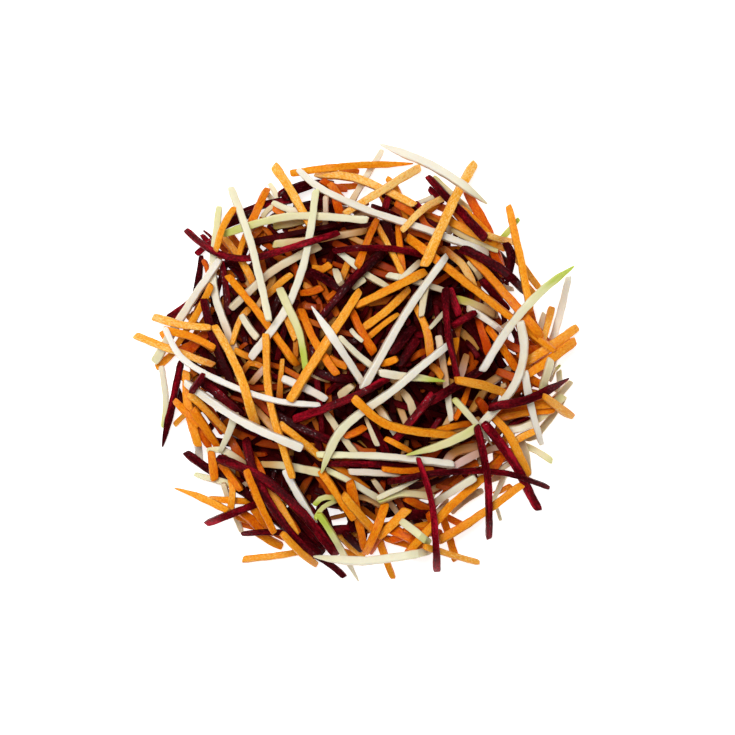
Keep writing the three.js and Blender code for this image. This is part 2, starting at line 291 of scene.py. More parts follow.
def rest_shred(width, bends):
    """The line along the middle of a dropped shred, the length to each point, and its feelers."""
    line, run = smooth_plan(bends)
    count = max(FEWEST_FEELERS, round(run[-1] / FEELER_LENGTH))
    lengths = np.linspace(0, run[-1], count + 1)
    plan = np.stack([np.interp(lengths, run, line[:, axis]) for axis in (0, 1)], axis=1)
    heading = np.gradient(plan, axis=0)
    heading /= np.hypot(*heading.T)[:, None]
    side = np.stack([-heading[:, 1], heading[:, 0]], axis=1)
    feelers = plan[:, None, :] + side[:, None, :] * (FEELERS_ACROSS * width)[None, :, None]
    supports = heights[cells(feelers)].max(axis=1)
    hull = taut_hull(lengths, supports)
    taut = np.interp(lengths, lengths[hull], supports[hull])
    after = next(i for i, mark in enumerate(hull) if lengths[mark] >= run[-1] / 2)
    left, right = hull[after - 1], hull[after]
    slope = (supports[right] - supports[left]) / (lengths[right] - lengths[left])
    stiff = supports[left] + slope * (lengths - lengths[left])
    thickness = width * THICKNESS_SHARE
    rise = taut + STIFFNESS * (stiff - taut) + thickness / 2 - SINK
    for _ in range(EASE_STEPS):
        rise[1:-1] = (rise[:-2] + 2 * rise[1:-1] + rise[2:]) / 4
    rise = np.maximum(rise, thickness / 2)
    return np.column_stack([plan, rise]), lengths, feelers


def lay_shred(kind, width, looks, line, lengths, feelers):
    """Leaves a shred where it came to rest and raises the height map over it."""
    where = cells(feelers)
    top = line[:, 2] + width * THICKNESS_SHARE / 2
    np.maximum.at(heights, where, np.repeat(top[:, None], len(FEELERS_ACROSS), axis=1))
    laid.append({"kind": kind, "width": width, "line": line, "lengths": lengths, **looks})


def drop_shred(kind, width_in_pixels, *pixels, **looks):
    """Drops a shred that shows in the picture: its width, then the pixels that it passes."""
    width = width_in_pixels * PIXEL
    bends = np.array([from_pixel(*pair) for pair in zip(pixels[::2], pixels[1::2])])
    for end, inner in ((0, 1), (-1, -2)):
        outwards = bends[end] - bends[inner]
        bends[end] += outwards / np.hypot(*outwards) * ROUND_END
    lay_shred(kind, width, looks, *rest_shred(width, bends))


beetroot, carrot, kohlrabi = (partial(drop_shred, kind) for kind in KINDS)

# Short shreds that lie on the table itself and hide it between the others.
carrot(9, 486, 304, 496, 318, 505, 332, tone=-0.8)
carrot(9, 498, 346, 509, 356, 521, 362, tone=-0.7)
beetroot(9, 495, 354, 504, 368, 511, 384)
carrot(9, 503, 376, 512, 389, 522, 402, tone=-0.6)
carrot(8, 519, 335, 529, 344, 540, 352, tone=-0.8)
beetroot(8, 463, 300, 471, 309, 480, 318)
carrot(9, 430, 495, 446, 484, 462, 477, tone=-0.6)
beetroot(9, 364, 509, 385, 514, 406, 507, tone=-0.3)
beetroot(9, 396, 519, 412, 521, 430, 523, tone=-0.4)
carrot(8, 394, 496, 401, 505, 408, 515, tone=-0.5)
kohlrabi(8, 486, 481, 495, 478, 506, 474, tone=0)
carrot(6, 495, 494, 502, 491, 511, 486)
beetroot(8, 262, 510, 272, 518, 283, 528, tone=-0.4)
carrot(7, 240, 524, 249, 526, 259, 528, tone=-0.3)
carrot(7, 342, 551, 350, 554, 359, 557)
beetroot(8, 286, 487, 292, 499, 299, 512)
beetroot(8, 229, 467, 238, 478, 249, 489)
beetroot(8, 176, 389, 180, 399, 185, 409)
beetroot(9, 214, 278, 214, 302, 219, 328, tone=-0.5)
carrot(8, 217, 241, 226, 250, 235, 259, tone=-0.6)
kohlrabi(6, 264, 190, 270, 197, 277, 205, tone=0.2)
carrot(8, 228, 231, 233, 239, 239, 247, tone=-0.3)
beetroot(6, 202, 235, 207, 241, 212, 247)
carrot(7, 335, 187, 349, 186, 363, 184, tone=-0.2)
carrot(6, 340, 170, 348, 170, 358, 171, tone=-0.3)
carrot(8, 389, 203, 396, 210, 404, 217, tone=-0.8)
carrot(8, 427, 200, 438, 205, 450, 210, tone=-0.6)
beetroot(7, 430, 189, 436, 195, 442, 202)
beetroot(7, 499, 253, 505, 260, 511, 267, tone=-0.4)
carrot(6, 526, 282, 532, 290, 538, 297, tone=0.4)

# The hidden layers fill the mound up to the level at which the shreds that show begin. They keep
# clear of the gaps near the rim where the table shows through.

FILL_SEED = 20
FILL_PARTS = (  # tries, shortest, longest, and the least share of the foot's radius to lie out at
    (9000, 14 * MM, 34 * MM, 0),
    (8000, 6 * MM, 15 * MM, 0),
    (14000, 4 * MM, 11 * MM, 0.78),
)
FILL_RADIUS = 55 * MM
FILL_HEIGHT = 36 * MM
FOOT_RADIUS = 59 * MM  # of the thin layer round the mound
FOOT_HEIGHT = 9 * MM
FILL_WIDTHS = (1.9 * MM, 3.0 * MM)
FILL_BOW = 0.14  # most sideways bow, as a share of the length
FILL_SHARES_INSIDE = np.array([0.74, 0.18, 0.08])  # of each kind
FILL_SHARES_AT_FOOT = np.array([0.34, 0.5, 0.16])
FILL_JUICE = (0.0, 0.12)
MOST_TOO_HIGH = 0.2  # share of a hidden shred that may stand out of the mound
TABLE_GAPS = (  # the pixel in the middle of each gap, and how near the middle of a shred may come
    (237, 238, 6), (207, 261, 6), (286, 196, 7), (308, 196, 7), (345, 191, 9), (360, 195, 9),
    (377, 203, 8), (401, 215, 8), (417, 188, 18), (440, 213, 6), (487, 292, 8), (507, 243, 7),
    (514, 270, 12), (513, 301, 9), (533, 291, 7), (543, 303, 15), (550, 382, 8), (499, 490, 9),
    (466, 506, 17), (340, 523, 8), (333, 510, 7), (245, 527, 9), (204, 450, 8), (178, 414, 7),
    (183, 377, 8), (468, 535, 6), (395, 548, 6), (286, 545, 6),
)

draw = np.random.default_rng(FILL_SEED)
gaps = np.array([from_pixel(across, down) for across, down, _ in TABLE_GAPS])
gap_reaches = PIXEL * np.array([reach for _, _, reach in TABLE_GAPS])


def fill_level(across, up):
    """How high the hidden layers may reach over some places."""
    at_foot = np.hypot(across, up) < FOOT_RADIUS
    return np.maximum(mound_height(across, up, FILL_RADIUS, FILL_HEIGHT), FOOT_HEIGHT * at_foot)


def drop_fill(shortest, longest, least_out):
    """Drops one hidden shred, unless it would close a gap or stand out."""
    bearing, out = draw.uniform(0, math.tau), math.sqrt(draw.uniform(least_out**2, 1))
    heading, bow = draw.uniform(0, math.pi), draw.uniform(-FILL_BOW, FILL_BOW)
    length, width = draw.uniform(shortest, longest), draw.uniform(*FILL_WIDTHS)
    shares = FILL_SHARES_INSIDE + (FILL_SHARES_AT_FOOT - FILL_SHARES_INSIDE) * out**2
    kind = draw.choice(KINDS, p=shares)
    centre = FOOT_RADIUS * out * np.array([math.cos(bearing), math.sin(bearing)])
    reach = length / 2 * np.array([math.cos(heading), math.sin(heading)])
    bulge = 2 * bow * np.array([-reach[1], reach[0]])
    bends = np.array([centre - reach, centre + bulge, centre + reach])
    line, *rest = rest_shred(width, bends)
    over_gap = np.hypot(*(line[:, None, :2] - gaps[None]).T) < gap_reaches[:, None]
    too_high = line[:, 2] + width / 2 > fill_level(line[:, 0], line[:, 1])
    if not over_gap.any() and too_high.mean() <= MOST_TOO_HIGH:
        looks = {"fill": True, "juice": draw.uniform(*FILL_JUICE)}
        lay_shred(kind, width, looks, line, *rest)


for tries, *part in FILL_PARTS:
    for _ in range(tries):
        drop_fill(*part)

# Low shreds at the rim and under the others.
kohlrabi(7, 382, 150, 367, 175, 351, 203, tone=0.2, green=(0.1, 0.3))
kohlrabi(6, 270, 184, 275, 193, 282, 212, green=(0.4, 0.4))
beetroot(8, 279, 194, 304, 184, 332, 184)
beetroot(9, 326, 182, 328, 200, 333, 224)
beetroot(8, 243, 212, 262, 205, 292, 200)
beetroot(6, 216, 236, 206, 245, 197, 253)
beetroot(3, 204, 231, 208, 234, 213, 239)
beetroot(7, 201, 257, 199, 275, 196, 296, tone=-0.3)
beetroot(10, 203, 292, 186, 307, 169, 317)
carrot(6, 161, 332, 164, 338, 172, 347)
carrot(7, 156, 367, 165, 360, 177, 349)
kohlrabi(6.5, 161, 367, 165, 398, 163, 427, tone=0.5, green=(0.2, 0.7))
carrot(6, 175, 424, 180, 419, 189, 411)
kohlrabi(8, 196, 433, 198, 448, 199, 463, tone=0.8)
beetroot(9, 187, 454, 210, 470, 248, 495, tone=-0.3)
kohlrabi(7, 196, 475, 212, 479, 232, 484, green=(0.6, 0.6))
kohlrabi(6, 224, 484, 231, 505, 241, 531, tone=-0.4)
carrot(7, 210, 499, 230, 500, 254, 502)
carrot(8, 238, 516, 256, 523, 272, 533)
carrot(9, 257, 533, 270, 541, 281, 546)
beetroot(6.5, 314, 556, 331, 566, 344, 577)
carrot(8, 377, 533, 385, 557, 393, 578)
carrot(9, 335, 530, 350, 545, 363, 556)
carrot(8, 385, 538, 405, 544, 430, 550)
carrot(7, 444, 515, 454, 521, 464, 526, tone=-0.5)
carrot(8, 441, 512, 449, 536, 456, 560, tone=-0.1)
kohlrabi(6, 506, 472, 500, 487, 494, 500)
kohlrabi(4, 495, 503, 498, 511, 501, 520)
kohlrabi(7, 524, 445, 538, 452, 552, 461, green=(0.6, 0.6))
kohlrabi(7, 565, 397, 555, 413, 540, 432, tone=-0.3, green=(0.3, 0.3))
kohlrabi(8, 569, 277, 563, 305, 552, 345, tone=1, green=(0.2, 0.3))
kohlrabi(6, 545, 314, 541, 326, 537, 344)
kohlrabi(6, 519, 219, 511, 228, 500, 241, green=(1, 1.3))
carrot(8, 494, 246, 499, 258, 503, 274, tone=-0.8)
carrot(7, 388, 179, 397, 190, 408, 222)
kohlrabi(7, 434, 177, 452, 194, 472, 211, tone=-0.5, green=(0.5, 0.6))
beetroot(9, 330, 530, 345, 529, 358, 526)
carrot(5, 330, 519, 342, 516, 354, 512)
beetroot(9, 405, 498, 411, 510, 418, 524)
carrot(8, 432, 524, 418, 527, 400, 533)
kohlrabi(5, 432, 197, 422, 201, 408, 207)
kohlrabi(5, 356, 216, 366, 213, 376, 216)
carrot(7, 261, 255, 264, 268, 262, 282)
beetroot(8, 388, 197, 386, 205, 383, 213)
beetroot(6, 373, 206, 385, 211, 398, 217)
carrot(9, 397, 203, 405, 208, 413, 214, tone=-0.5)
beetroot(9, 290, 507, 305, 529, 322, 552, tone=-0.2)
beetroot(9, 283, 488, 303, 520, 322, 540, tone=0.1)
beetroot(9, 306, 508, 322, 530, 338, 552, tone=-0.3)
beetroot(7, 303, 205, 316, 203, 330, 201)
beetroot(8, 322, 186, 321, 197, 318, 207)
carrot(8, 322, 181, 333, 187, 345, 189, tone=-0.6)
beetroot(9, 226, 219, 235, 214, 243, 220)
beetroot(8, 229, 263, 236, 270, 243, 281)
kohlrabi(7, 571, 382, 562, 392, 552, 402, tone=-0.3, green=(0.1, 0.3))
kohlrabi(8, 522, 437, 533, 438, 541, 430, tone=-0.5)
beetroot(10, 418, 219, 428, 223, 440, 231)
carrot(4, 431, 214, 437, 217, 442, 221, tone=-0.4)
carrot(9, 512, 384, 528, 381, 545, 386, tone=-0.6)
carrot(9, 504, 408, 520, 402, 540, 397, tone=-0.2)
carrot(9, 524, 392, 536, 394, 549, 399, tone=0.1)
beetroot(5, 508, 427, 518, 423, 529, 419)
kohlrabi(4, 560, 366, 554, 372, 551, 380, green=(0.8, 0.1))
kohlrabi(6, 559, 372, 560, 382, 557, 391, green=(0.5, 0.2))
carrot(10, 523, 350, 535, 360, 547, 358, tone=-0.6)
kohlrabi(9, 275, 226, 287, 224, 303, 221, tone=0.1, green=(0.9, 0.6))
kohlrabi(6, 263, 216, 268, 210, 274, 206, tone=-0.3, green=(0.3, 0.3))
carrot(7, 274, 208, 279, 212, 286, 217, tone=-0.3)
carrot(7, 249, 241, 257, 232, 263, 228, tone=-0.3)
carrot(6, 264, 228, 268, 232, 272, 238, tone=-0.3)
carrot(7, 264, 243, 271, 247, 281, 252, tone=-0.4)
carrot(7, 276, 257, 283, 259, 292, 262)
carrot(7, 182, 338, 187, 345, 193, 354, tone=-0.7)
carrot(6, 204, 261, 207, 267, 208, 273, tone=-0.7)
carrot(7, 186, 379, 192, 374, 200, 369, tone=-0.2)
carrot(9, 492, 466, 500, 460, 509, 456, tone=-0.6)
kohlrabi(6, 499, 470, 507, 465, 514, 460, tone=-0.3)
kohlrabi(6, 474, 468, 478, 463, 481, 457, tone=-0.2, green=(0.2, 0.4))
# Shreds of the lower layers, on the left.
beetroot(9, 184, 342, 199, 348, 214, 362, tone=-0.4)
beetroot(9, 187, 362, 203, 372, 222, 388, tone=-0.3)
carrot(9, 177, 350, 190, 346, 206, 333, tone=-0.6)
carrot(8, 190, 353, 199, 343, 208, 335, tone=-0.8)
beetroot(8, 203, 352, 212, 372, 226, 394, tone=-0.2)
carrot(7, 182, 378, 188, 381, 194, 387, tone=-0.5, juice=0.3)
carrot(10, 202, 398, 212, 415, 223, 432, tone=-0.8)
carrot(9, 190, 418, 200, 430, 208, 446, tone=-0.5)
# On the upper left.
beetroot(9, 222, 226, 237, 219, 252, 213, tone=-0.3)
carrot(8, 222, 238, 231, 247, 241, 258)
beetroot(9, 226, 262, 240, 266, 256, 272, tone=-0.4)
beetroot(10, 284, 197, 297, 189, 312, 184, tone=-0.2)
beetroot(10, 296, 207, 312, 207, 330, 202, tone=-0.4)
carrot(8, 330, 184, 338, 195, 346, 203, tone=-0.3)
carrot(8, 338, 217, 352, 209, 366, 203, tone=-0.4)
carrot(9, 336, 200, 339, 210, 342, 220, tone=-0.7)
kohlrabi(6, 326, 198, 326, 214, 325, 229, juice=0.3)
# On the upper right.
beetroot(6, 416, 203, 420, 208, 422, 214)
carrot(8, 446, 213, 454, 223, 468, 233, tone=-0.3)
carrot(8, 453, 210, 466, 224, 481, 236, tone=-0.5)
carrot(7, 411, 232, 425, 236, 441, 243, tone=-0.4)
carrot(7, 420, 214, 426, 226, 441, 236, tone=-0.6)
beetroot(10, 385, 222, 389, 234, 393, 247, tone=-0.4)
carrot(9, 492, 250, 498, 262, 503, 276, tone=-0.8)
beetroot(9, 455, 252, 466, 262, 475, 277, tone=-0.2)
beetroot(9, 468, 254, 484, 268, 498, 283, tone=-0.4)
kohlrabi(7, 469, 262, 474, 268, 480, 279, tone=-0.4, green=(0.4, 0.2))
carrot(8, 464, 283, 473, 287, 481, 283, tone=-0.1)
# On the right.
carrot(9, 529, 307, 534, 325, 546, 341, tone=-0.5)
carrot(9, 520, 318, 530, 333, 545, 348, tone=-0.2)
carrot(9, 505, 342, 520, 350, 540, 349, tone=-0.7)
carrot(9, 521, 357, 535, 350, 549, 343, tone=-0.5)
carrot(9, 541, 373, 535, 361, 527, 348, tone=-0.7)
carrot(9, 498, 371, 513, 377, 531, 384, tone=-0.5)
carrot(9, 502, 393, 516, 388, 531, 379, tone=-0.8)
carrot(8, 519, 374, 533, 380, 547, 388, tone=-0.3)
kohlrabi(7, 556, 351, 554, 362, 550, 375, tone=0.3)
carrot(9, 496, 412, 524, 408, 556, 400, tone=-0.3)
kohlrabi(9, 505, 430, 530, 424, 562, 397, tone=-0.4, green=(0.2, 0.5))
# On the lower right.
carrot(9, 478, 400, 484, 408, 490, 417, tone=-0.8)
carrot(9, 440, 471, 456, 466, 476, 463, tone=-0.3)
carrot(9, 486, 477, 496, 465, 508, 451, tone=-0.5)
carrot(9, 490, 445, 500, 450, 514, 452, tone=-0.7)
kohlrabi(7, 486, 451, 496, 447, 507, 447, juice=0.5)
kohlrabi(8, 520, 438, 526, 455, 529, 476, tone=-0.5)
kohlrabi(8, 452, 512, 464, 501, 481, 491, tone=-0.5)
carrot(9, 405, 498, 416, 503, 429, 509, tone=-0.4)
beetroot(10, 406, 514, 420, 514, 434, 515, tone=-0.4)
carrot(8, 428, 514, 433, 526, 436, 540, tone=-0.6)
carrot(9, 392, 540, 404, 536, 420, 533, tone=-0.7)
carrot(10, 391, 528, 405, 535, 422, 546, tone=-0.5)
carrot(9, 405, 528, 420, 531, 440, 533, tone=-0.6)
carrot(9, 410, 551, 418, 543, 428, 532, tone=-0.2)
carrot(8, 483, 513, 464, 527, 440, 541, tone=0.8)
# At the bottom and on the lower left.
beetroot(8, 321, 499, 332, 502, 346, 503, tone=-0.4)
beetroot(8, 344, 504, 350, 516, 354, 530, tone=-0.4)
beetroot(8, 322, 503, 326, 516, 330, 529, tone=-0.3)
beetroot(9, 345, 533, 353, 541, 361, 549, tone=-0.4)
beetroot(10, 294, 488, 316, 518, 334, 548, tone=-0.3)
beetroot(10, 279, 503, 299, 533, 318, 553, tone=-0.2)
carrot(9, 262, 477, 280, 505, 297, 532, tone=-0.6)
carrot(8, 318, 474, 326, 485, 333, 497, tone=-0.4)
kohlrabi(6, 352, 496, 366, 498, 381, 506, green=(0.4, 0.5))
carrot(9, 371, 551, 376, 540, 385, 527, tone=-0.5)
carrot(9, 228, 436, 235, 447, 241, 459, tone=-0.2)
beetroot(9, 234, 482, 243, 490, 254, 500, tone=-0.4)
carrot(10, 238, 510, 251, 519, 264, 531, tone=-0.4)
carrot(9, 252, 506, 262, 519, 272, 531, tone=-0.2)
carrot(8, 274, 533, 281, 536, 288, 539, tone=-0.6)

# The layer that shows between the topmost shreds.
beetroot(7, 250, 243, 285, 236, 336, 226)
kohlrabi(8, 275, 244, 315, 240, 365, 231, tone=0.5, green=(0.6, 0.3))
carrot(7.5, 225, 239, 240, 258, 253, 282)
carrot(7, 246, 236, 242, 246, 239, 257)
beetroot(7, 222, 262, 226, 288, 229, 314)
carrot(8.5, 266, 190, 259, 206, 250, 226)
kohlrabi(7, 274, 203, 290, 210, 312, 215, green=(0.3, 0.1))
carrot(9, 275, 167, 291, 191, 310, 226, tone=0.6)
carrot(9, 318, 174, 360, 180, 414, 205, tone=0.8)
kohlrabi(8, 219, 208, 214, 285, 237, 352, tone=0.5, green=(0.6, 0))
kohlrabi(9, 220, 261, 185, 312, 155, 361, tone=0.7, green=(0, 0.5))
carrot(7, 212, 286, 196, 316, 177, 345)
beetroot(9, 205, 300, 214, 338, 234, 388, tone=-0.1)
carrot(7, 249, 310, 240, 322, 233, 344)
kohlrabi(8, 243, 316, 250, 328, 258, 338, green=(0.2, 0.2))
carrot(7, 236, 350, 248, 356, 262, 361)
carrot(6, 243, 373, 251, 363, 263, 367)
kohlrabi(7, 253, 382, 258, 376, 264, 369, juice=0.5)
carrot(6, 283, 360, 281, 380, 280, 402)
beetroot(10, 202, 381, 222, 396, 243, 414)
beetroot(8, 181, 362, 173, 400, 162, 446, tip="end", tone=0.2)
carrot(9, 187, 372, 188, 405, 198, 445)
carrot(7, 176, 402, 186, 412, 198, 426)
carrot(8, 190, 394, 208, 412, 228, 434)
carrot(9, 194, 410, 206, 428, 219, 448)
kohlrabi(8, 252, 405, 264, 417, 280, 434)
carrot(7, 254, 396, 266, 408, 285, 428)
kohlrabi(7, 209, 450, 226, 451, 246, 466, green=(0.5, 0.3))
carrot(7, 231, 478, 233, 494, 230, 512)
carrot(8, 222, 465, 232, 477, 241, 489)
carrot(7.5, 175, 489, 200, 497, 228, 510, tip="start")
beetroot(8, 208, 523, 230, 514, 258, 503)
beetroot(6.5, 243, 534, 262, 532, 288, 532)
carrot(8, 268, 485, 281, 506, 297, 534)
carrot(7.5, 243, 560, 270, 557, 303, 552)
kohlrabi(8, 263, 464, 290, 466, 321, 472, tone=0.3, green=(0.7, 0.5))
kohlrabi(8, 286, 470, 299, 495, 317, 521, tip="end", tone=0.8)
beetroot(9, 275, 413, 300, 427, 332, 441, tone=-0.2)
carrot(8, 281, 424, 305, 443, 322, 458)
carrot(8, 251, 454, 257, 464, 264, 476, tone=-0.5)
carrot(7, 330, 462, 348, 474, 367, 488)
kohlrabi(7, 328, 470, 352, 482, 379, 499, green=(0.6, 0.4))
beetroot(6, 330, 463, 385, 464, 445, 467)
kohlrabi(7, 350, 471, 372, 472, 398, 474, tone=0.3, juice=0.15)
carrot(7, 383, 468, 400, 470, 432, 469)
carrot(9, 350, 482, 356, 508, 364, 548, tone=-0.2)
kohlrabi(6, 374, 480, 385, 496, 398, 513)
carrot(9, 407, 509, 394, 522, 379, 536)
carrot(6, 422, 538, 416, 546, 409, 555)
carrot(8.5, 483, 478, 448, 508, 411, 548)
kohlrabi(8, 434, 503, 452, 491, 474, 477)
kohlrabi(10, 445, 463, 455, 452, 478, 447, juice=0.6)
kohlrabi(8, 448, 470, 464, 460, 480, 452, juice=0.6)
carrot(7, 500, 418, 526, 413, 553, 411)
carrot(8, 530, 405, 541, 405, 553, 404)
carrot(8, 512, 443, 523, 436, 534, 431)
kohlrabi(7, 507, 431, 519, 429, 533, 423, green=(0.2, 0.2))
carrot(10, 576, 328, 553, 345, 526, 362, tone=0.4)
carrot(10, 573, 342, 551, 358, 528, 374, tone=0.1)
carrot(7, 552, 309, 547, 327, 541, 344)
kohlrabi(9, 550, 360, 546, 373, 541, 390, green=(0.2, 0.7))
carrot(8.5, 478, 321, 484, 338, 489, 354, tone=-0.9)
carrot(8, 488, 328, 502, 348, 516, 369)
kohlrabi(9, 455, 299, 474, 305, 492, 314, tone=0.5, green=(1, 0.6))
kohlrabi(7, 468, 309, 485, 319, 503, 332, tone=0.5, juice=0.1)
beetroot(8, 482, 280, 494, 295, 508, 309, tone=0.1)
carrot(8, 443, 249, 463, 266, 474, 288, tone=0.9, juice=0.25)
kohlrabi(8, 452, 229, 474, 240, 497, 249, tone=-0.5, green=(0.5, 0.5))
carrot(8, 450, 222, 474, 234, 503, 248)
carrot(10, 468, 193, 479, 214, 491, 238, tone=-0.7)
carrot(7, 461, 207, 474, 220, 488, 234)
carrot(7, 486, 235, 501, 240, 517, 242, tone=0.8)
carrot(7, 515, 256, 527, 271, 539, 287)
carrot(7, 398, 227, 400, 250, 403, 272)
carrot(6.5, 376, 224, 390, 250, 402, 275)
carrot(8, 348, 264, 344, 275, 338, 290)
kohlrabi(7, 364, 274, 374, 280, 388, 288)
kohlrabi(7, 388, 276, 418, 283, 449, 293)
carrot(8, 408, 290, 388, 310, 364, 328)
carrot(6, 397, 315, 384, 324, 369, 337)
carrot(9, 351, 310, 361, 331, 373, 352, tone=-0.5)
carrot(8, 413, 303, 426, 330, 430, 358)
kohlrabi(7, 426, 287, 423, 300, 421, 316, tone=-0.4)
beetroot(10, 412, 328, 402, 340, 390, 354, tone=-0.2)
beetroot(10, 416, 340, 408, 352, 399, 366, tone=-0.2)
kohlrabi(8, 402, 391, 410, 402, 413, 415, tone=-0.4)
kohlrabi(7, 327, 413, 340, 432, 356, 453)
beetroot(8, 370, 420, 378, 436, 386, 452)
kohlrabi(8, 378, 406, 386, 418, 396, 434)
kohlrabi(5, 366, 418, 371, 430, 377, 444, tone=-0.3)
kohlrabi(7.5, 438, 337, 444, 372, 451, 419, green=(0.1, 0.2))
beetroot(9, 482, 369, 455, 386, 428, 402)
beetroot(8.5, 432, 394, 414, 417, 394, 440)
carrot(6, 468, 388, 463, 402, 455, 418, tone=-0.4)
kohlrabi(8, 466, 357, 463, 366, 459, 378, tone=-0.8, juice=0.5)
carrot(7, 437, 430, 456, 425, 476, 423)
carrot(6, 386, 438, 396, 443, 410, 451)
beetroot(9, 449, 290, 453, 302, 458, 315)
beetroot(8, 452, 326, 462, 320, 474, 313)
carrot(7, 285, 312, 290, 325, 296, 339, tone=0.5)
carrot(7, 291, 275, 280, 284, 266, 297)
carrot(8, 330, 265, 323, 270, 314, 268)
carrot(8, 302, 293, 312, 292, 322, 288, tone=-0.4)
carrot(7, 328, 300, 334, 294, 342, 290, tone=-0.4)
beetroot(9, 311, 272, 324, 279, 340, 290, tone=-0.1)
kohlrabi(8, 336, 272, 338, 277, 341, 283, tone=-0.3)
kohlrabi(7, 353, 288, 358, 284, 364, 280)
kohlrabi(5, 352, 331, 356, 336, 362, 341)
carrot(8, 331, 358, 338, 363, 346, 366)
kohlrabi(8.5, 284, 379, 304, 387, 326, 399, tone=0.7)
beetroot(9, 316, 372, 333, 377, 352, 379, tone=-0.2)
kohlrabi(8, 340, 395, 346, 390, 352, 386, tone=-0.4)
carrot(8, 345, 436, 354, 433, 364, 427, tone=-0.5)
carrot(7, 455, 340, 453, 352, 449, 364)
kohlrabi(5, 430, 328, 437, 320, 444, 312)
carrot(8, 431, 366, 436, 370, 441, 377)
carrot(8, 382, 364, 389, 362, 396, 359)

# The topmost shreds.
kohlrabi(7, 337, 251, 348, 260, 362, 270)
beetroot(9, 382, 254, 357, 276, 322, 318, tone=-0.4)
carrot(8, 376, 221, 368, 240, 358, 266)
beetroot(6.5, 335, 252, 360, 249, 395, 250, 430, 257, tone=0.3)
kohlrabi(7, 419, 263, 410, 272, 400, 281)
carrot(8.5, 423, 273, 392, 289, 357, 306)
carrot(7.5, 292, 173, 350, 166, 412, 163, tip="end", tone=0.2)
carrot(8.5, 418, 168, 388, 187, 345, 214, tone=0.9)
kohlrabi(8, 299, 171, 322, 190, 370, 212, 425, 230, 486, 253, tone=0.6)
carrot(7, 448, 196, 425, 208, 402, 231, tone=0.9)
beetroot(9, 429, 177, 456, 207, 484, 238)
carrot(8.5, 409, 239, 480, 294, 553, 350, tone=0.1)
carrot(9, 464, 251, 500, 289, 540, 336)
beetroot(9, 506, 245, 511, 258, 505, 282, tone=-0.4)
beetroot(9.5, 462, 249, 496, 267, 523, 290)
carrot(10, 474, 164, 454, 200, 424, 266, tone=0.7)
kohlrabi(9.5, 381, 144, 436, 168, 486, 203, tip="both", tone=1, green=(0.2, 0.4))
carrot(8, 509, 207, 519, 255, 529, 310, tone=0.3)
kohlrabi(8.5, 573, 267, 540, 292, 508, 328, 482, 370, tip="start", tone=0.8, green=(1.1, 0))
kohlrabi(8.5, 319, 247, 275, 270, 232, 308, green=(0.3, 0))
carrot(8, 229, 277, 262, 317, 296, 364, tone=0.1)
kohlrabi(8, 224, 234, 290, 217, 367, 221, tone=0.2, green=(0.9, 0.3))
kohlrabi(8, 316, 192, 311, 230, 302, 272, 284, 314, 252, 357, tone=0.6, green=(0.5, 0))
beetroot(7, 187, 231, 216, 253, 250, 259, 290, 249, 338, 234, tone=0.45)
kohlrabi(8, 231, 189, 252, 246, 270, 320, tone=0.5, green=(0.4, 0.3))
carrot(7, 234, 209, 223, 228, 217, 250, tone=0.4)
carrot(8, 155, 317, 182, 325, 211, 328, tone=0.7)
carrot(8, 166, 330, 192, 337, 215, 348, tone=0.1)
carrot(8, 136, 336, 170, 349, 214, 365, tone=0.7)
carrot(8, 267, 335, 271, 400, 293, 476, tone=0.5)
kohlrabi(6.5, 166, 329, 184, 359, 226, 383, 275, 400, 320, 405, tone=0.9)
carrot(9, 216, 327, 240, 372, 256, 423, tone=0.6)
kohlrabi(7, 236, 414, 230, 431, 221, 450)
kohlrabi(9, 187, 383, 240, 419, 302, 447, tone=0.7)
beetroot(7, 204, 375, 198, 384, 193, 391)
carrot(9, 212, 452, 213, 465, 215, 479)
beetroot(9, 246, 440, 257, 478, 283, 522, 313, 556, tone=0.1)
beetroot(10, 219, 458, 262, 477, 300, 510, 335, 552, tone=0.15)
carrot(8, 247, 470, 260, 502, 274, 531)
carrot(8, 283, 533, 299, 550, 315, 564)
kohlrabi(6, 315, 504, 322, 497, 334, 497, green=(1, 1))
kohlrabi(5, 316, 517, 324, 506, 338, 500, green=(1, 1))
carrot(8, 322, 471, 336, 492, 353, 518)
carrot(9, 344, 495, 358, 512, 374, 531)
carrot(9, 385, 504, 377, 527, 366, 552)
kohlrabi(7, 320, 513, 338, 543, 358, 581, tip="end", green=(1.2, 0.1))
kohlrabi(9.5, 315, 556, 365, 560, 428, 551, tip="start", tone=0.6, green=(0.4, 0.4))
kohlrabi(8, 402, 521, 414, 530, 428, 541, tone=0.4, green=(0.5, 0.9))
kohlrabi(8, 379, 501, 402, 493, 432, 497, tone=0.1, green=(0.8, 0.5))
kohlrabi(6, 420, 477, 400, 487, 378, 497, tip="start")
carrot(8, 302, 311, 316, 343, 337, 374, tone=-0.2)
kohlrabi(8, 281, 291, 300, 333, 307, 372, tone=-0.1, green=(0.5, 1.2))
carrot(9.5, 359, 293, 326, 344, 291, 400, tone=0.4)
kohlrabi(7, 340, 338, 366, 362, 398, 383)
kohlrabi(8, 313, 308, 340, 348, 363, 384, tip="start", tone=0.6)
kohlrabi(8.5, 445, 258, 405, 314, 363, 388, tone=0.6)
beetroot(8.5, 387, 379, 348, 399, 296, 419, tone=0.3)
kohlrabi(8, 380, 373, 410, 377, 443, 381, tip="end", tone=0.2, green=(0, 1.2))
kohlrabi(8, 318, 454, 385, 456, 452, 464, tone=0.7, green=(0.6, 0.1))
kohlrabi(
    9, 446, 346, 421, 366, 390, 392, 357, 415, 336, 437, 322, 471,
    tip="end", tone=0.6, green=(0, 0.6),
)
carrot(9, 354, 398, 390, 425, 455, 435, tone=0.2)
beetroot(7.5, 445, 290, 447, 330, 457, 380, tone=0)
carrot(9, 456, 380, 481, 385, 510, 395)
kohlrabi(7.5, 524, 372, 530, 405, 541, 443, tone=0.5)
